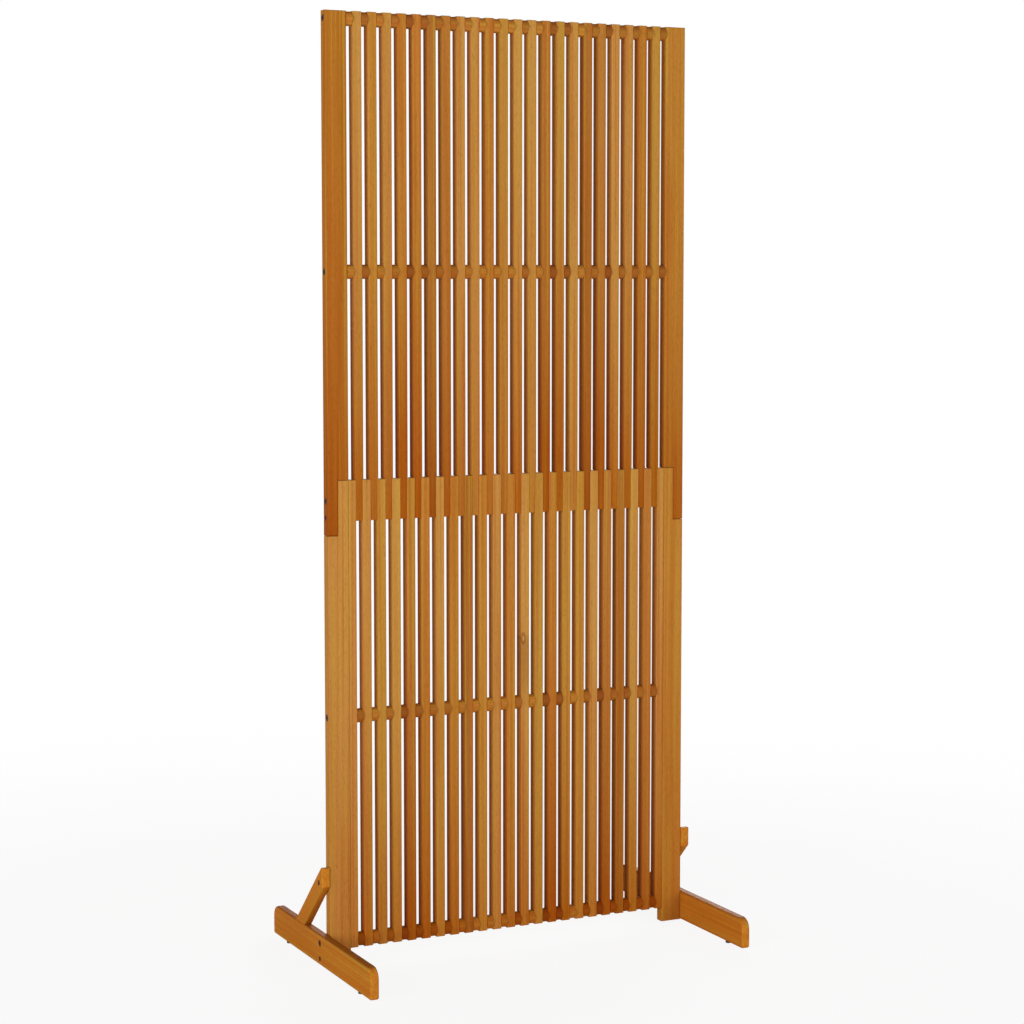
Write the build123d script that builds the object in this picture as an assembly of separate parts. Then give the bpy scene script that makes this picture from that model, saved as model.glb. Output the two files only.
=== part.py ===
from build123d import *
import math
import os

# Slatted privacy screen, free standing, about 1.8 m tall and 0.8 m wide. Sizes are in millimetres.
#
# Two slatted panels stand one on the other. The slats of the upper panel are narrowed at their lower
# ends and reach down between the slats of the lower panel, like crossed fingers, and the stiles are
# half lapped. Steel rods run through stiles, slats and the round spacers between the slats. A foot
# board and a diagonal brace on the outer side of each stile hold the screen upright.
#
# X runs along the panel, Y from front to back, Z up. The origin is on the floor, in the middle of the
# panel's length and of its thickness.

# Slats and stiles
slat_width = 17.5
slat_gap = 12.8
slat_depth = 21.0
upper_slat_count = 22
stile_width = 43.0
slat_edge_radius = 1.2
stile_edge_radius = 1.8

# Heights, from the underside of the feet upwards, one bay from each rod to the next
slat_bottom_height = 28.5
rod_inset = 14.0
bottom_bay = 433.0
lower_bay = 412.0
upper_bay = 430.0
top_bay = 468.5

# Fingers and half laps where the two panels meet
finger_overlap = 77.5
finger_side_clearance = 0.15
shoulder_clearance = 0.5
lap_screw_drop = 31.5
tail_end_margin = 33.5
tail_end_gap = 0.8
lap_clearance = 0.3

# Round spacers, rods and their cap nuts
spacer_diameter = 27.0
spacer_edge_radius = 1.0
rod_diameter = 6.0
rod_clearance = 0.25
cap_wall = 1.5
cap_flange = 2.0
cap_head_thickness = 2.5
cap_barrel_length = 14.0
cap_floor = 2.0
head_edge_radius = 0.6

# Feet and braces, cut from one board
foot_board_thickness = 17.5
foot_length = 508.0
foot_over_rod = 16.0
foot_top_corner_radius = 22.0
foot_low_corner_radius = 5.0
foot_edge_radius = 3.5
brace_width = 32.0
brace_rise = 131.5
brace_slope_degrees = 44.0
brace_nose = 3.0
brace_tip_flat = 7.5
brace_edge_radius = 3.0

# Wood screws
screw_shank_diameter = 5.0
screw_flange = 2.5
screw_head_thickness = 2.5
screw_tip_length = 6.0
screw_tip_radius = 0.4
screw_end_cover = 2.5
foot_screw_height = 12.0
brace_screw_setback = 3.0
heel_screw_setback = 16.0
heel_screw_cover = 9.0
head_sink = 0.5
head_clearance = 0.2
shank_clearance = 0.1
socket_across_flats = 5.0
socket_depth = 1.6

# Nail-in glides
glide_diameter = 11.0
glide_height = 5.0
glide_edge_radius = 1.0
glide_inset = 67.0
glide_nail_diameter = 4.0
glide_nail_length = 12.0
nail_clearance = 0.1
nail_end_clearance = 0.5

# Places along the panel
pitch = slat_width + slat_gap
panel_width = 2 * stile_width + upper_slat_count * slat_width + (upper_slat_count + 1) * slat_gap
panel_side = panel_width / 2
slat_field_side = panel_side - stile_width
first_upper_slat_x = -slat_field_side + slat_gap + slat_width / 2
first_lower_slat_x = first_upper_slat_x + pitch / 2
filler_width = pitch / 2
tail_width = stile_width / 2
foot_side = panel_side + foot_board_thickness
foot_x = panel_side + foot_board_thickness / 2

# Heights above the floor
foot_bottom_z = glide_height
slat_bottom_z = foot_bottom_z + slat_bottom_height
bottom_rod_z = slat_bottom_z + rod_inset
lower_rod_z = bottom_rod_z + bottom_bay
finger_rod_z = lower_rod_z + lower_bay
upper_rod_z = finger_rod_z + upper_bay
top_rod_z = upper_rod_z + top_bay
panel_top_z = top_rod_z + rod_inset
lower_top_z = finger_rod_z + finger_overlap / 2
finger_bottom_z = finger_rod_z - finger_overlap / 2
lap_screw_z = finger_rod_z - lap_screw_drop
tail_bottom_z = lap_screw_z - tail_end_margin
foot_top_z = bottom_rod_z + foot_over_rod
foot_height = foot_top_z - foot_bottom_z

upper_rod_heights = (finger_rod_z, upper_rod_z, top_rod_z)
lower_rod_heights = (bottom_rod_z, lower_rod_z, finger_rod_z)

# Fastener sizes
rod_hole_radius = rod_diameter / 2 + rod_clearance
cap_barrel_radius = rod_diameter / 2 + cap_wall
cap_head_radius = cap_barrel_radius + cap_flange
screw_head_radius = screw_shank_diameter / 2 + screw_flange
screw_length = stile_width - head_sink - screw_end_cover
rod_end_depth = head_sink + cap_head_thickness + cap_floor

# Brace outline: a plumb cut in front, a level cut on the foot, two slanting edges between, and a level
# cut that takes the tip off
brace_slope = math.radians(brace_slope_degrees)
brace_cut_height = brace_width / math.cos(brace_slope)
brace_front_y = -slat_depth / 2 - brace_nose
brace_tip_y = brace_front_y + brace_tip_flat
brace_top_z = foot_top_z + brace_rise
brace_low_z = brace_top_z + brace_tip_flat * math.tan(brace_slope) - brace_cut_height
brace_toe_y = brace_front_y + (brace_low_z - foot_top_z) / math.tan(brace_slope)
brace_heel_y = brace_tip_y + brace_rise / math.tan(brace_slope)
brace_screw_z = (
    brace_top_z - brace_cut_height / 2 - (brace_screw_setback - brace_tip_y) * math.tan(brace_slope)
)

# Screw from below, up through the foot into the brace
heel_screw_y = brace_toe_y + heel_screw_setback
heel_screw_tip_z = foot_top_z + (brace_heel_y - heel_screw_y) * math.tan(brace_slope) - heel_screw_cover
heel_screw_head_z = heel_screw_tip_z - screw_length

LEFT = -1
RIGHT = 1
SIDES = {"left": LEFT, "right": RIGHT}
largest_rounded_share = 0.45


def limited(radius, *walls):
    """Edge radius, kept under half of each wall that it rounds."""
    return min(radius, largest_rounded_share * min(walls))


def along_x(radius, x_from, x_to, z):
    """Round bar along X at the height z."""
    bar = Cylinder(radius, x_to - x_from)
    return Pos((x_from + x_to) / 2, 0, z) * Rot(0, 90, 0) * bar


def facing_out(side, x, z, y=0):
    """Plane on the side of the screen: its normal points away from the panel."""
    return Plane(origin=(side * x, y, z), x_dir=(0, 1, 0), z_dir=(side, 0, 0))


def panel_board(outline, edge_radius):
    """Board as deep as the panel, from its outline in X and Z, with its front and back edges eased."""
    face = Plane.XZ * make_face(Polyline(*outline, close=True))
    board = extrude(face, slat_depth / 2, both=True)
    return fillet(board.faces().filter_by(Axis.Y).edges(), limited(edge_radius, slat_depth))


def upright(x_from, x_to, z_from, z_to, edge_radius):
    """Straight panel board between two X and two Z."""
    outline = [(x_from, z_from), (x_to, z_from), (x_to, z_to), (x_from, z_to)]
    return panel_board(outline, limited(edge_radius, x_to - x_from))


def drilled(board, x, half_width, heights):
    """The board with a rod hole at each height."""
    for z in heights:
        board -= along_x(rod_hole_radius, x - half_width, x + half_width, z)
    return board


def hex_socket():
    """Cutter for the driver's socket, below the head's top on the XY plane."""
    hexagon = RegularPolygon(socket_across_flats / 2, 6, major_radius=False)
    return extrude(hexagon, -socket_depth)


def below(radius, depth, length):
    """Round bar along Z, with its upper end at the given depth under the XY plane."""
    return Pos(0, 0, -depth) * Cylinder(radius, length, align=(Align.CENTER, Align.CENTER, Align.MAX))


def fastener_head(radius, thickness):
    """Flat head with an eased rim."""
    head = below(radius, 0, thickness)
    rim = head.edges().filter_by(GeomType.CIRCLE).sort_by(Axis.Z)[-1]
    return fillet(rim, limited(head_edge_radius, thickness))


def cap_nut():
    """Cap nut with its head's top on the XY plane and its barrel below, over the end of a rod."""
    nut = fastener_head(cap_head_radius, cap_head_thickness)
    nut += below(cap_barrel_radius, cap_head_thickness, cap_barrel_length)
    nut -= hex_socket()
    nut -= below(rod_hole_radius, cap_head_thickness + cap_floor, cap_barrel_length)
    return nut


def cap_nut_hole():
    """Stepped hole for a cap nut, open above the XY plane."""
    mouth = below(cap_head_radius + head_clearance, -head_sink, head_sink + cap_head_thickness)
    return mouth + below(cap_barrel_radius + head_clearance, 0, cap_head_thickness + cap_barrel_length)


def wood_screw():
    """Wood screw with its head's top on the XY plane and its point below."""
    shank_length = screw_length - screw_head_thickness - screw_tip_length
    shank_radius = screw_shank_diameter / 2
    screw = fastener_head(screw_head_radius, screw_head_thickness)
    screw += below(shank_radius, screw_head_thickness, shank_length)
    under_the_origin = (Align.CENTER, Align.CENTER, Align.MAX)
    point = Cone(screw_tip_radius, shank_radius, screw_tip_length, align=under_the_origin)
    screw += Pos(0, 0, -screw_head_thickness - shank_length) * point
    return screw - hex_socket()


def wood_screw_hole(mouth_depth):
    """Stepped hole for a wood screw, open for mouth_depth above the head's top."""
    mouth = below(screw_head_radius + head_clearance, -mouth_depth, mouth_depth + screw_head_thickness)
    return mouth + below(screw_shank_diameter / 2 + shank_clearance, 0, screw_length)


def finger_slat(x):
    """Upper slat with the narrow finger at its lower end."""
    finger = slat_gap / 2 - finger_side_clearance
    shoulder = lower_top_z + shoulder_clearance
    half = slat_width / 2
    outline = [
        (x - finger, finger_bottom_z), (x + finger, finger_bottom_z), (x + finger, shoulder),
        (x + half, shoulder), (x + half, panel_top_z), (x - half, panel_top_z),
        (x - half, shoulder), (x - finger, shoulder),
    ]
    board = panel_board(outline, limited(slat_edge_radius, 2 * finger, slat_width))
    return drilled(board, x, slat_width, upper_rod_heights)


def upper_stile(side):
    """Upper stile, with its outer half running on down as the tail of the half lap."""
    inner, outer = side * slat_field_side, side * panel_side
    lap = outer - side * (tail_width - lap_clearance / 2)
    shoulder = lower_top_z + shoulder_clearance
    outline = [
        (outer, tail_bottom_z), (outer, panel_top_z), (inner, panel_top_z),
        (inner, shoulder), (lap, shoulder), (lap, tail_bottom_z),
    ]
    board = panel_board(outline, limited(stile_edge_radius, tail_width))
    return drilled(board, outer, 2 * stile_width, upper_rod_heights)


def lower_stile(side):
    """Lower stile, cut away on its outer half for the tail of the upper one."""
    inner, outer = side * slat_field_side, side * panel_side
    lap = outer - side * (tail_width + lap_clearance / 2)
    ledge = tail_bottom_z - tail_end_gap
    outline = [
        (outer, foot_bottom_z), (outer, ledge), (lap, ledge),
        (lap, lower_top_z), (inner, lower_top_z), (inner, foot_bottom_z),
    ]
    board = panel_board(outline, limited(stile_edge_radius, tail_width))
    return drilled(board, outer, 2 * stile_width, lower_rod_heights)


def filler(side):
    """Strip half a pitch wide that sets the lower slats off from the upper ones."""
    x_from, x_to = sorted((side * slat_field_side, side * (slat_field_side - filler_width)))
    board = upright(x_from, x_to, slat_bottom_z, lower_top_z, slat_edge_radius)
    return drilled(board, side * slat_field_side, 2 * filler_width, lower_rod_heights)


def spacer_row(first_x, count, z):
    """Round spacers, one in each slat gap, all on one rod."""
    ring = Cylinder(spacer_diameter / 2, slat_gap)
    ring = fillet(ring.edges().filter_by(GeomType.CIRCLE), limited(spacer_edge_radius, slat_gap))
    ring -= Cylinder(rod_hole_radius, slat_gap)
    return [Pos(first_x + i * pitch, 0, z) * Rot(0, 90, 0) * ring for i in range(count)]


def foot(side):
    """Foot board on edge, with rounded ends and eased edges."""
    profile = Rectangle(foot_length, foot_height)
    profile = fillet(profile.vertices().group_by(Axis.Y)[-1], limited(foot_top_corner_radius, foot_height))
    profile = fillet(profile.vertices().group_by(Axis.Y)[0], limited(foot_low_corner_radius, foot_height))
    board = extrude(Plane.YZ * profile, foot_board_thickness / 2, both=True)
    edge_radius = limited(foot_edge_radius, foot_board_thickness, 2 * foot_low_corner_radius)
    board = fillet(board.faces().filter_by(Axis.X).edges(), edge_radius)
    return Pos(side * foot_x, 0, (foot_bottom_z + foot_top_z) / 2) * board


def brace(side):
    """Diagonal brace, upright against the stile and seated on the foot behind the panel."""
    outline = Polyline(
        (brace_tip_y, brace_top_z), (brace_front_y, brace_top_z), (brace_front_y, brace_low_z),
        (brace_toe_y, foot_top_z), (brace_heel_y, foot_top_z), close=True,
    )
    board = extrude(Plane.YZ * make_face(outline), foot_board_thickness / 2, both=True)
    rims = board.faces().filter_by(Axis.X).edges()
    seat = rims.filter_by_position(Axis.Z, foot_top_z, foot_top_z)
    eased = [edge for edge in rims if edge not in seat]
    board = fillet(eased, limited(brace_edge_radius, foot_board_thickness, brace_width))
    return Pos(side * foot_x, 0, 0) * board


def glide():
    """Nail-in glide standing on the XY plane."""
    pad = Cylinder(glide_diameter / 2, glide_height, align=(Align.CENTER, Align.CENTER, Align.MIN))
    rim = pad.edges().filter_by(GeomType.CIRCLE).sort_by(Axis.Z)[0]
    pad = fillet(rim, limited(glide_edge_radius, glide_height))
    return pad + below(glide_nail_diameter / 2, -glide_height - glide_nail_length, glide_nail_length)


def glide_hole():
    """Hole for a glide's nail, above a glide standing on the XY plane."""
    depth = glide_nail_length + nail_end_clearance
    return below(glide_nail_diameter / 2 + nail_clearance, -glide_height - depth, depth)


# Where the fasteners sit, as planes at their heads' tops
cap_nut_places = {
    side: [facing_out(side, panel_side - head_sink, z)
           for z in (lower_rod_z, finger_rod_z, upper_rod_z, top_rod_z)]
    + [facing_out(side, foot_side - head_sink, bottom_rod_z)]
    for side in (LEFT, RIGHT)
}
lap_screw_place = {side: facing_out(side, panel_side - head_sink, lap_screw_z) for side in (LEFT, RIGHT)}
foot_screw_place = {
    side: facing_out(side, foot_side - head_sink, foot_bottom_z + foot_screw_height)
    for side in (LEFT, RIGHT)
}
brace_screw_place = {
    side: facing_out(side, foot_side - head_sink, brace_screw_z, brace_screw_setback)
    for side in (LEFT, RIGHT)
}
heel_screw_place = {
    side: Plane(origin=(side * foot_x, heel_screw_y, heel_screw_head_z), z_dir=(0, 0, -1))
    for side in (LEFT, RIGHT)
}
glide_ys = (-foot_length / 2 + glide_inset, foot_length / 2 - glide_inset)
glide_places = [Pos(side * foot_x, y, 0) for side in (LEFT, RIGHT) for y in glide_ys]

# The pieces, by name
nodes = {}

for i in range(upper_slat_count):
    nodes[f"upper_slat_{i + 1:02d}"] = [finger_slat(first_upper_slat_x + i * pitch)]

for i in range(upper_slat_count - 1):
    x = first_lower_slat_x + i * pitch
    slat = upright(x - slat_width / 2, x + slat_width / 2, slat_bottom_z, lower_top_z, slat_edge_radius)
    nodes[f"lower_slat_{i + 1:02d}"] = [drilled(slat, x, slat_width, lower_rod_heights)]

nodes["lower_fillers"] = [filler(LEFT), filler(RIGHT)]

shallow_hole = wood_screw_hole(head_sink)
heel_hole = wood_screw_hole(heel_screw_head_z - foot_bottom_z)
for name, side in SIDES.items():
    tall, low, board, stay = upper_stile(side), lower_stile(side), foot(side), brace(side)
    for place in cap_nut_places[side]:
        tall -= place * cap_nut_hole()
        low -= place * cap_nut_hole()
        board -= place * cap_nut_hole()
    board -= along_x(rod_hole_radius, *sorted((side * panel_side, side * foot_side)), bottom_rod_z)
    tall -= lap_screw_place[side] * shallow_hole
    low -= lap_screw_place[side] * shallow_hole
    low -= foot_screw_place[side] * shallow_hole
    low -= brace_screw_place[side] * shallow_hole
    board -= foot_screw_place[side] * shallow_hole
    board -= heel_screw_place[side] * heel_hole
    stay -= brace_screw_place[side] * shallow_hole
    stay -= heel_screw_place[side] * heel_hole
    for place in glide_places:
        board -= place * glide_hole()
    nodes[f"upper_stile_{name}"] = [tall]
    nodes[f"lower_stile_{name}"] = [low]
    nodes[f"foot_{name}"] = [board]
    nodes[f"brace_{name}"] = [stay]

upper_gap_x = first_upper_slat_x - pitch / 2
nodes["spacers_top"] = spacer_row(upper_gap_x, upper_slat_count + 1, top_rod_z)
nodes["spacers_upper_middle"] = spacer_row(upper_gap_x, upper_slat_count + 1, upper_rod_z)
nodes["spacers_lower_middle"] = spacer_row(first_upper_slat_x, upper_slat_count, lower_rod_z)
nodes["spacers_bottom"] = spacer_row(first_upper_slat_x, upper_slat_count, bottom_rod_z)

short_rod_end = panel_side - rod_end_depth
long_rod_end = foot_side - rod_end_depth
nodes["tie_rods"] = [
    along_x(rod_diameter / 2, -short_rod_end, short_rod_end, z)
    for z in (lower_rod_z, finger_rod_z, upper_rod_z, top_rod_z)
] + [along_x(rod_diameter / 2, -long_rod_end, long_rod_end, bottom_rod_z)]

nodes["rod_caps"] = [place * cap_nut() for side in (LEFT, RIGHT) for place in cap_nut_places[side]]

screw_places = [
    places[side]
    for places in (lap_screw_place, foot_screw_place, brace_screw_place, heel_screw_place)
    for side in (LEFT, RIGHT)
]
nodes["wood_screws"] = [place * wood_screw() for place in screw_places]

nodes["foot_glides"] = [place * glide() for place in glide_places]

os.makedirs("parts", exist_ok=True)
for name, pieces in nodes.items():
    solids = [solid for piece in pieces for solid in piece.solids()]
    shape = solids[0] if len(solids) == 1 else Compound(children=solids)
    export_step(shape, f"parts/{name}.step")
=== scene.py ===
import math

import bpy
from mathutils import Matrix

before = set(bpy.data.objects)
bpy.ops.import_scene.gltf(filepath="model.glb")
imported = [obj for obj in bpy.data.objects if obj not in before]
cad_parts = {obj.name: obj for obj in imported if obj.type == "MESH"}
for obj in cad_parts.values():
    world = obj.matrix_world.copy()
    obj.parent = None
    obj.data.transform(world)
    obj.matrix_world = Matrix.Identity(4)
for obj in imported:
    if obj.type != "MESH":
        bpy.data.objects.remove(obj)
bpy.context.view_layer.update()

# Upper slats

# Twenty-two narrow hardwood slats stand side by side in the upper panel, each sawn from a different
# board, so that straw, amber and chestnut ones lie next to each other. They are planed, eased on their
# long edges, oiled, and threaded on three steel rods.

UPPER_SLAT_TONES = (
    "straw", "amber", "tan", "orange", "orange", "chestnut", "russet", "tan", "tan", "orange",
    "olive", "straw", "straw", "russet", "olive", "straw", "chestnut", "russet", "straw", "tan",
    "orange", "olive",
)
UPPER_PANEL_TOP = 1.805
UPPER_PANEL_FOOT = 0.854
SLAT_PITCH = 0.0303


class Reading:
    """What one output of a node gives. Sums and products with it become Math nodes."""

    def __init__(self, tree, socket):
        self.tree = tree
        self.socket = socket

    def worked(self, operation, *values):
        """A Math node on the given values, in that order."""
        node = self.tree.nodes.new("ShaderNodeMath")
        node.operation = operation
        for entry, value in zip(node.inputs, values):
            if isinstance(value, Reading):
                self.tree.links.new(value.socket, entry)
            else:
                entry.default_value = value
        return Reading(self.tree, node.outputs[0])

    def __add__(self, other):
        return self.worked("ADD", self, other)

    def __radd__(self, other):
        return self.worked("ADD", other, self)

    def __sub__(self, other):
        return self.worked("SUBTRACT", self, other)

    def __rsub__(self, other):
        return self.worked("SUBTRACT", other, self)

    def __mul__(self, other):
        return self.worked("MULTIPLY", self, other)

    def __rmul__(self, other):
        return self.worked("MULTIPLY", other, self)

    def __truediv__(self, other):
        return self.worked("DIVIDE", self, other)

    def __pow__(self, other):
        return self.worked("POWER", self, other)

    def size(self):
        """The reading without its sign."""
        return self.worked("ABSOLUTE", self)

    def swing(self):
        """How far the reading is from 0.5, the middle of noise."""
        return self - 0.5

    def kept(self):
        """The reading held between 0 and 1."""
        return self.worked("MINIMUM", self.worked("MAXIMUM", self, 0.0), 1.0)

    def rise(self, low, high):
        """0 up to the low value and 1 from the high value on, with a soft step between."""
        share = ((self - low) / (high - low)).kept()
        return share * share * (3.0 - 2.0 * share)


class Finish:
    """A finish while it is mixed: the node tree of a material or of the surroundings."""

    def __init__(self, owner):
        self.owner = owner
        owner.use_nodes = True
        self.tree = owner.node_tree
        self.tree.nodes.clear()

    def add(self, kind, settings=None, sockets=None, output=0):
        """Adds a node, sets it up, then gives its sockets their values or links."""
        node = self.tree.nodes.new(kind)
        for name, value in (settings or {}).items():
            setattr(node, name, value)
        for name, value in (sockets or {}).items():
            if isinstance(value, Reading):
                self.tree.links.new(value.socket, node.inputs[name])
            else:
                node.inputs[name].default_value = value
        return Reading(self.tree, node.outputs[output]) if node.outputs else None

    def mixed(self, share, first, second, blend="MIX"):
        """Two colours mixed by a share."""
        return self.add(
            "ShaderNodeMix", {"data_type": "RGBA", "blend_type": blend},
            {0: share, 6: first, 7: second}, output=2,
        )

    def grain(self, board, changes, detail=2.0, offset=(0.0, 0.0, 0.0)):
        """Noise with so many changes in a metre, across the board and along it."""
        across, along = changes
        drawn_out = self.add(
            "ShaderNodeMapping", {"vector_type": "POINT"},
            {"Vector": board, "Location": offset, "Scale": (across, across, along)},
        )
        return self.add(
            "ShaderNodeTexNoise", {"noise_dimensions": "3D"},
            {"Vector": drawn_out, "Scale": 1.0, "Detail": detail, "Roughness": 0.5},
        )

    def part(self, vector, axis):
        """One part of a place or direction: its X, Y or Z."""
        return self.add("ShaderNodeSeparateXYZ", sockets={"Vector": vector}, output=axis)

    def bump(self, height, strength, distance):
        """Relief in the surface, as a normal. The distance is in metres."""
        return self.add(
            "ShaderNodeBump", sockets={"Strength": strength, "Distance": distance, "Height": height}
        )

    def surface(self, kind, sockets):
        """Gives the finish its shader, and returns the material."""
        shader = self.add(kind, sockets=sockets)
        self.add("ShaderNodeOutputMaterial", sockets={"Surface": shader})
        return self.owner


def shade(red, green, blue):
    """A colour given by values of 0 to 255, as the shader takes it."""
    def part(value):
        value /= 255.0
        return value / 12.92 if value <= 0.04045 else ((value + 0.055) / 1.055) ** 2.4
    return (part(red), part(green), part(blue), 1.0)


def coat(node, finish):
    """Gives a CAD node its finish."""
    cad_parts[node].material_slots[0].material = finish


# Each board tone as its pale wood and its deep wood
TONES = {
    "straw": (shade(199, 147, 76), shade(183, 127, 54)),
    "tan": (shade(196, 140, 71), shade(180, 120, 51)),
    "olive": (shade(190, 142, 62), shade(177, 120, 45)),
    "amber": (shade(192, 134, 56), shade(174, 112, 36)),
    "orange": (shade(189, 127, 52), shade(171, 103, 30)),
    "russet": (shade(186, 126, 58), shade(167, 104, 36)),
    "chestnut": (shade(176, 117, 50), shade(154, 92, 28)),
    "copper": (shade(201, 129, 40), shade(184, 105, 22)),
    "umber": (shade(180, 116, 40), shade(162, 94, 20)),
}
OLIVE_BAND = shade(186, 142, 48)
ORANGE_BAND = shade(184, 100, 36)
RED_HEART = shade(166, 82, 20)
PORE_BROWN = shade(96, 50, 14)
WHITE = (1.0, 1.0, 1.0, 1.0)
AGED_BY_THE_FOOT = (0.75, 0.46, 0.12, 1.0)

# Changes of the grain in a metre, across the board and along it
SWAY = (34.0, 2.4)
FIGURE = (150.0, 1.9)
BANDS = (175.0, 1.3)
BANDS_OFFSET = (3.0, 7.0, 0.0)
STREAKS = (430.0, 5.0)
FIBRES = (1900.0, 34.0)
PORES = (2700.0, 120.0)

# How far each grain moves the board between its deep and its pale wood
FIGURE_CONTRAST = 1.6
STREAK_CONTRAST = 0.9
FIBRE_CONTRAST = 0.5

# Where in its grain each colour starts and is full, and how much of it shows there
OLIVE_RANGE, OLIVE_SHARE = (0.52, 0.66), 0.55
ORANGE_RANGE, ORANGE_SHARE = (0.54, 0.68), 0.5
HEART_RANGE, HEART_SHARE = (0.5, 0.8), 0.35
HEART_RAGGEDNESS = 0.5
PORE_RANGE, PORE_SHARE = (0.62, 0.72), 0.4
POROUS_STREAKS = (0.35, 0.6)
FEWEST_PORES = 0.35

AGEING_CURVE = 2.2
LEAST_AGEING = 0.5
UNTURNED = (0.0, 0.0, 0.0)


def oiled_wood(name, tone, top, foot, ageing=1.0, turn=UNTURNED, row=None, feature=None):
    """Oiled hardwood, whose grain runs along Z once turned. It ages from the board's top to its foot,
    by the given share there. The pieces of a row along X, given by their pitch and an X between two of
    them, age unevenly. The feature is a function that adds to the colour what only this piece has."""
    finish = Finish(bpy.data.materials.new(name))
    place = finish.add("ShaderNodeTexCoord", output="Object")
    board = finish.add(
        "ShaderNodeMapping", {"vector_type": "POINT"}, {"Vector": place, "Rotation": turn}
    )
    x, z = finish.part(place, "X"), finish.part(place, "Z")

    sway = finish.grain(board, SWAY)
    figure = finish.grain(board, FIGURE, detail=1.0)
    bands = finish.grain(board, BANDS, detail=1.0, offset=BANDS_OFFSET)
    streaks = finish.grain(board, STREAKS)
    fibres = finish.grain(board, FIBRES, detail=3.0)
    pores = finish.grain(board, PORES, detail=0.0)

    lightness = (
        0.5 + figure.swing() * FIGURE_CONTRAST + streaks.swing() * STREAK_CONTRAST
        + fibres.swing() * FIBRE_CONTRAST
    ).kept()
    pale, deep = TONES[tone]
    colour = finish.mixed(lightness, deep, pale)
    colour = finish.mixed(bands.rise(*OLIVE_RANGE) * OLIVE_SHARE, colour, OLIVE_BAND)
    colour = finish.mixed((1.0 - bands).rise(*ORANGE_RANGE) * ORANGE_SHARE, colour, ORANGE_BAND)
    redness = (sway + streaks.swing() * HEART_RAGGEDNESS).rise(*HEART_RANGE)
    colour = finish.mixed(redness * HEART_SHARE, colour, RED_HEART)
    porous = FEWEST_PORES + (1.0 - FEWEST_PORES) * streaks.rise(*POROUS_STREAKS)
    pore_lines = pores.rise(*PORE_RANGE) * porous
    colour = finish.mixed(pore_lines * PORE_SHARE, colour, PORE_BROWN)

    lot = None
    depth = ((top - z) / (top - foot)).kept() ** AGEING_CURVE * ageing
    if row:
        pitch, seam = row
        number = (x - seam) / pitch
        lot = finish.add(
            "ShaderNodeTexWhiteNoise", {"noise_dimensions": "1D"},
            {"W": number.worked("FLOOR", number)},
        )
        depth = (depth * (LEAST_AGEING + lot)).kept()
    if feature:
        colour = feature(finish, colour, {"x": x, "z": z, "streaks": streaks, "lot": lot})
    aged = finish.mixed(depth, WHITE, AGED_BY_THE_FOOT)

    return finish.surface("ShaderNodeBsdfPrincipled", {
        "Base Color": finish.mixed(1.0, colour, aged, blend="MULTIPLY"),
        "Roughness": 0.6 + fibres.swing() * 0.25 + pore_lines * 0.15,
        "Specular IOR Level": 0.04,
        "Normal": finish.bump(fibres * 0.6 - pore_lines * 0.8, strength=0.35, distance=0.0004),
    })


upper_woods = {
    tone: oiled_wood(
        f"upper_slat_{tone}", tone, UPPER_PANEL_TOP, UPPER_PANEL_FOOT, row=(SLAT_PITCH, 0.0)
    )
    for tone in dict.fromkeys(UPPER_SLAT_TONES)
}
for number, tone in enumerate(UPPER_SLAT_TONES, start=1):
    coat(f"upper_slat_{number:02d}", upper_woods[tone])

# Lower slats and fillers

# Twenty-one slats of the same section make the lower panel, half a pitch to the side of the upper ones,
# with a thin strip at each end of the row. Their upper ends stand between the tongues of the upper slats
# on the shared rod. One of them has a knot.

LOWER_SLAT_TONES = (
    "tan", "olive", "straw", "russet", "orange", "straw", "amber", "chestnut", "amber", "tan",
    "orange", "straw", "olive", "orange", "olive", "amber", "straw", "russet", "chestnut", "straw",
    "russet",
)
LOWER_PANEL_TOP = 0.931
LOWER_PANEL_FOOT = 0.0335
LOWER_SLAT_AGEING = 0.8
KNOTTY_SLAT = 12
KNOT_X, KNOT_Z = 0.026, 0.607
KNOT_HALF_WIDTH = 0.0035
KNOT_HALF_HEIGHT = 0.010
KNOT_BROWN = shade(112, 60, 16)
KNOT_PALE = shade(206, 160, 92)
KNOT_SHARE = 0.5
KNOT_SHADOW_SHARE = 0.3


def knotted(finish, colour, readings):
    """A pale knot with a brown ring around it, in wood that is darker below it. Its reach is 1 on the
    ring, and the streaks make it ragged."""
    reach_x = (readings["x"] - KNOT_X) / KNOT_HALF_WIDTH
    reach_z = (readings["z"] - KNOT_Z) / KNOT_HALF_HEIGHT
    reach = (reach_x * reach_x + reach_z * reach_z) ** 0.5 + readings["streaks"].swing() * 0.5
    shadow = (1.0 - reach_z.rise(-1.0, 2.0)) * reach_z.rise(-16.0, -4.0)
    heart = 1.0 - reach.rise(0.3, 0.8)
    ring = 1.0 - (reach - 1.0).size().rise(0.1, 0.5)
    colour = finish.mixed(shadow * KNOT_SHADOW_SHARE, colour, KNOT_BROWN)
    colour = finish.mixed(heart * KNOT_SHARE, colour, KNOT_PALE)
    return finish.mixed(ring * KNOT_SHARE, colour, KNOT_BROWN)


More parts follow.
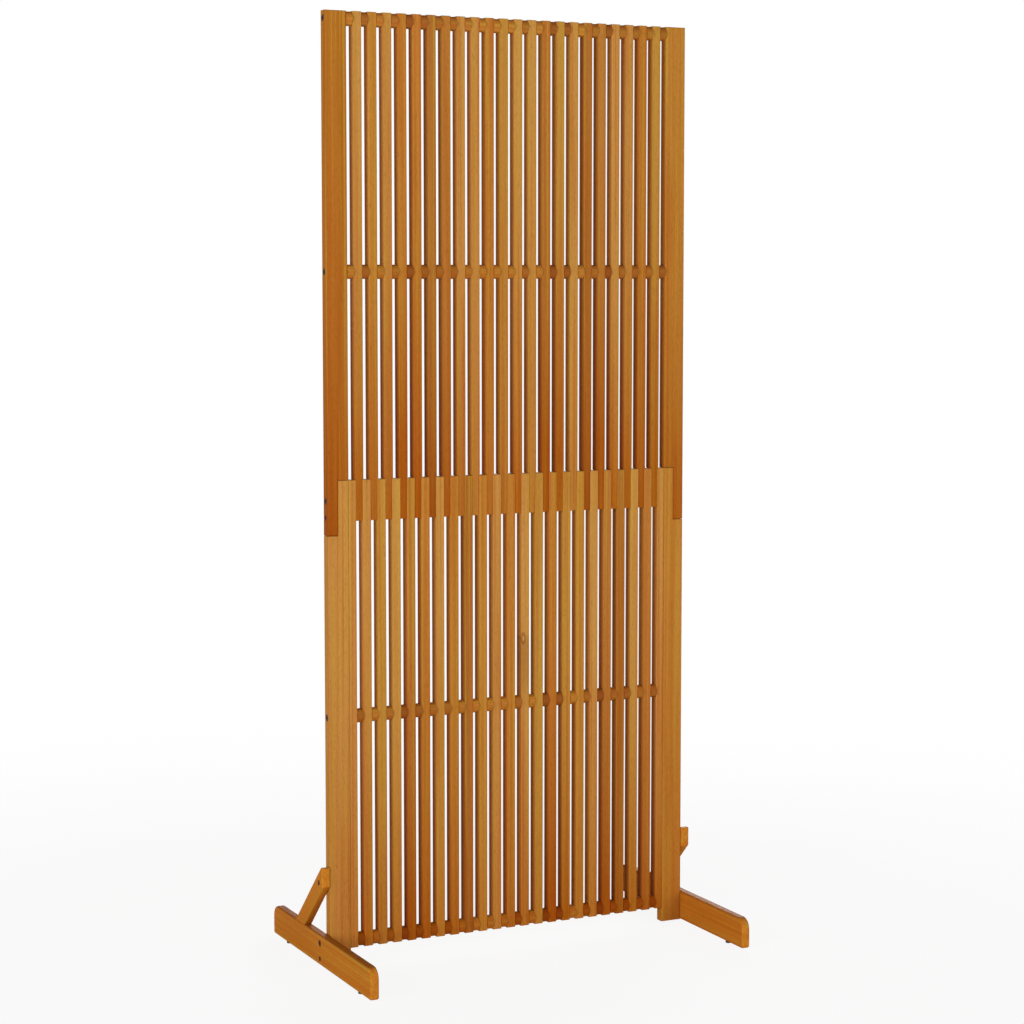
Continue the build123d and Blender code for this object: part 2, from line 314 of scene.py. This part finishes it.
lower_woods = {
    tone: oiled_wood(
        f"lower_slat_{tone}", tone, LOWER_PANEL_TOP, LOWER_PANEL_FOOT, ageing=LOWER_SLAT_AGEING,
        row=(SLAT_PITCH, SLAT_PITCH / 2.0),
    )
    for tone in dict.fromkeys(LOWER_SLAT_TONES)
}
for number, tone in enumerate(LOWER_SLAT_TONES, start=1):
    coat(f"lower_slat_{number:02d}", lower_woods[tone])
coat(f"lower_slat_{KNOTTY_SLAT:02d}", oiled_wood(
    "lower_slat_knotty", LOWER_SLAT_TONES[KNOTTY_SLAT - 1], LOWER_PANEL_TOP, LOWER_PANEL_FOOT,
    ageing=LOWER_SLAT_AGEING, feature=knotted,
))
coat("lower_fillers", lower_woods["tan"])

# Stiles

# Four broader boards close the two panels at their sides. The outer half of each upper stile runs down
# past the joint as a tail, and a screw through it holds the panels together.

STILE_TAIL_FOOT = 0.8275
UPPER_STILE_TONES = {"left": "umber", "right": "amber"}
LOWER_STILE_TONES = {"left": "tan", "right": "amber"}
UPPER_STILE_AGEING = 0.9
LOWER_STILE_AGEING = 0.4
for side in ("left", "right"):
    coat(f"upper_stile_{side}", oiled_wood(
        f"upper_stile_{side}_wood", UPPER_STILE_TONES[side], UPPER_PANEL_TOP, STILE_TAIL_FOOT,
        ageing=UPPER_STILE_AGEING,
    ))
    coat(f"lower_stile_{side}", oiled_wood(
        f"lower_stile_{side}_wood", LOWER_STILE_TONES[side], LOWER_PANEL_TOP, 0.0,
        ageing=LOWER_STILE_AGEING,
    ))

# Spacers

# Turned rings of the same wood keep the slats apart, one on the rod in each gap. Each comes from another
# stick, so golden and brown ones follow each other, with their grain along the rod.

ACROSS_THE_PANEL = (0.0, math.radians(90.0), 0.0)
RING_BROWN = shade(132, 66, 28)
RING_BROWN_SHARE = 0.75


def browner_by_lot(finish, colour, readings):
    """Each ring in its own tone, from the board's to brown."""
    return finish.mixed(readings["lot"].rise(0.1, 1.0) * RING_BROWN_SHARE, colour, RING_BROWN)


for level in ("top", "upper_middle"):
    coat(f"spacers_{level}", oiled_wood(
        f"spacers_{level}_wood", "orange", UPPER_PANEL_TOP, UPPER_PANEL_FOOT, turn=ACROSS_THE_PANEL,
        row=(SLAT_PITCH, SLAT_PITCH / 2.0), feature=browner_by_lot,
    ))
for level in ("lower_middle", "bottom"):
    coat(f"spacers_{level}", oiled_wood(
        f"spacers_{level}_wood", "orange", LOWER_PANEL_TOP, LOWER_PANEL_FOOT, turn=ACROSS_THE_PANEL,
        row=(SLAT_PITCH, 0.0), feature=browner_by_lot,
    ))

# Rods, cap nuts and screws

# Drawn steel rods carry the slats. Cap nuts with a hexagon socket close them in the outer faces of the
# stiles and feet, and wood screws with the same head hold the laps, feet and braces. Nuts and screws are
# burnished dark.

CLOUDS = (260.0, 260.0)
SCRATCHES = (3200.0, 900.0)
RUBBED_LIGHTER = 2.2


def steel(name, colour, roughness, metallic):
    """Steel with fine scratches, lighter where it is rubbed."""
    finish = Finish(bpy.data.materials.new(name))
    place = finish.add("ShaderNodeTexCoord", output="Object")
    clouds = finish.grain(place, CLOUDS, detail=3.0)
    scratches = finish.grain(place, SCRATCHES, detail=1.0)
    rubbed = (clouds + scratches.swing() * 0.5).rise(0.5, 0.75)
    rubbed_colour = tuple(RUBBED_LIGHTER * part for part in colour[:3]) + (1.0,)
    return finish.surface("ShaderNodeBsdfPrincipled", {
        "Base Color": finish.mixed(rubbed, colour, rubbed_colour),
        "Metallic": metallic,
        "Roughness": roughness + clouds.swing() * 0.2,
        "Normal": finish.bump(scratches, strength=0.2, distance=0.0001),
    })


burnished = steel("burnished_steel", shade(52, 34, 20), roughness=0.6, metallic=0.5)
coat("rod_caps", burnished)
coat("wood_screws", burnished)
coat("tie_rods", steel("drawn_steel", shade(150, 148, 144), roughness=0.34, metallic=0.9))

# Feet and braces

# A board on edge crosses under each stile, and a slanting stay runs from the stile down to it behind the
# panel. Both are sawn from plank, rounded over on their edges, and oiled like the panels. Brown shade is
# painted along the feet's top edges, where little light falls from above.

ALONG_THE_FOOT = (math.radians(90.0), 0.0, 0.0)
BRACE_SLOPE = 44.0
ALONG_THE_BRACE = (math.radians(BRACE_SLOPE - 90.0), 0.0, 0.0)
FOOT_TOP = 0.0635
FOOT_AGEING = 0.15
BRACE_TOP = 0.195
BRACE_AGEING = 0.4
# Painted shade: brown along the feet's top edges, where little light falls from above
TOP_SHADE_BROWN = shade(120, 52, 10)
TOP_SHADE_HEIGHT = 0.004
TOP_SHADE_SHARE = 0.5


def painted_top_shade(finish, colour, readings):
    """Painted shade: brown along the foot's top edge, where little light falls from above."""
    shaded_band = readings["z"].rise(FOOT_TOP - TOP_SHADE_HEIGHT, FOOT_TOP)
    return finish.mixed(shaded_band * TOP_SHADE_SHARE, colour, TOP_SHADE_BROWN)


for side in ("left", "right"):
    # The feet carry painted shade along their top edges
    coat(f"foot_{side}", oiled_wood(
        f"foot_{side}_wood", "copper", FOOT_TOP, 0.0, ageing=FOOT_AGEING, turn=ALONG_THE_FOOT,
        feature=painted_top_shade,
    ))
    coat(f"brace_{side}", oiled_wood(
        f"brace_{side}_wood", "copper", BRACE_TOP, 0.0, ageing=BRACE_AGEING, turn=ALONG_THE_BRACE,
    ))

# Glides

# Small discs of dark moulded plastic stand under the feet and keep the wood off the floor. They are
# plain, with the fine grain of the mould.

PLASTIC_DARK = shade(26, 24, 23)
PLASTIC_PALE = shade(44, 41, 39)
MOULD_GRAIN = (2400.0, 2400.0)
plastic = Finish(bpy.data.materials.new("glide_plastic"))
moulding = plastic.grain(
    plastic.add("ShaderNodeTexCoord", output="Object"), MOULD_GRAIN, detail=1.0
)
coat("foot_glides", plastic.surface("ShaderNodeBsdfPrincipled", {
    "Base Color": plastic.mixed(moulding, PLASTIC_DARK, PLASTIC_PALE),
    "Roughness": 0.5 + moulding.swing() * 0.3,
    "Normal": plastic.bump(moulding, strength=0.25, distance=0.0001),
}))

# Floor, light and camera

# A plain pale floor fades out around the screen. One large soft lamp stands at the screen's left, one in
# front of it and one behind it, and the camera stands at the photograph's angle.

FLOOR_RADIUS = 3.0
FLOOR_FADE = (0.8, 0.9 * FLOOR_RADIUS)
FLOOR_GREY = (0.86, 0.86, 0.86, 1.0)
FLOOR_GLOW_SHARE = 0.9
SKY_LOW = 0.42
SKY_HIGH = 0.04
SKY_FADE = (0.0, 0.6)
LAMP_TARGET = (0.0, 0.0, 0.9)
LAMP_WIDTH = 2.6
CAMERA_PLACE = (-2.0235, -4.2160, 1.3166)
CAMERA_PITCH = 4.652
CAMERA_HEADING = -25.71
CAMERA_LENS = 84.73
CAMERA_SENSOR = 36.0
CAMERA_SHIFT = -0.04

bpy.ops.object.select_all(action="DESELECT")
bpy.ops.mesh.primitive_circle_add(vertices=96, radius=FLOOR_RADIUS, fill_type="NGON")
floor = bpy.context.object
floor.name = "floor"

paint = Finish(bpy.data.materials.new("pale_floor"))
distance = paint.add(
    "ShaderNodeVectorMath", {"operation": "LENGTH"},
    {0: paint.add("ShaderNodeTexCoord", output="Object")}, output=1,
)
seen = paint.add("ShaderNodeLightPath", output="Is Camera Ray")
matt = paint.add("ShaderNodeBsdfDiffuse", sockets={"Color": FLOOR_GREY})
glow = paint.add("ShaderNodeEmission", sockets={"Color": WHITE, "Strength": 1.0})
solid = paint.add("ShaderNodeMixShader", sockets={0: seen * FLOOR_GLOW_SHARE, 1: matt, 2: glow})
clear = paint.add("ShaderNodeBsdfTransparent")
floor.data.materials.append(
    paint.surface("ShaderNodeMixShader", {0: distance.rise(*FLOOR_FADE), 1: solid, 2: clear})
)

sky = Finish(bpy.data.worlds.new("studio"))
shown = sum(
    (sky.add("ShaderNodeLightPath", output=kind)
     for kind in ("Is Camera Ray", "Is Glossy Ray", "Is Transmission Ray")),
    start=0.0,
).kept()
height = sky.part(sky.add("ShaderNodeTexCoord", output="Generated"), "Z")
glimmer = SKY_LOW - (SKY_LOW - SKY_HIGH) * height.rise(*SKY_FADE)
sky.add("ShaderNodeOutputWorld", sockets={"Surface": sky.add(
    "ShaderNodeBackground",
    sockets={"Color": WHITE, "Strength": shown + (1.0 - shown) * glimmer},
)})
bpy.context.scene.world = sky.owner


def soft_lamp(name, place, power):
    """Square area lamp at a place, facing the middle of the screen."""
    lamp_data = bpy.data.lights.new(name, "AREA")
    lamp_data.size = LAMP_WIDTH
    lamp_data.energy = power
    lamp = bpy.data.objects.new(name, lamp_data)
    bpy.context.scene.collection.objects.link(lamp)
    lamp.location = place
    away = [here - there for here, there in zip(place, LAMP_TARGET)]
    flat = math.hypot(away[0], away[1])
    lamp.rotation_euler = (math.atan2(flat, away[2]), 0.0, math.atan2(away[0], -away[1]))


soft_lamp("key_lamp", (-4.3, -2.5, 1.35), 165.0)
soft_lamp("fill_lamp", (1.2, -4.7, 1.25), 116.0)
soft_lamp("back_lamp", (2.6, 3.8, 1.5), 200.0)

camera_data = bpy.data.cameras.new("camera")
camera_data.sensor_width = CAMERA_SENSOR
camera_data.lens = CAMERA_LENS
camera_data.shift_y = CAMERA_SHIFT
camera = bpy.data.objects.new("camera", camera_data)
bpy.context.scene.collection.objects.link(camera)
camera.location = CAMERA_PLACE
camera.rotation_euler = (math.radians(90.0 - CAMERA_PITCH), 0.0, math.radians(CAMERA_HEADING))
bpy.context.scene.camera = camera
bpy.context.scene.view_settings.view_transform = "Standard"
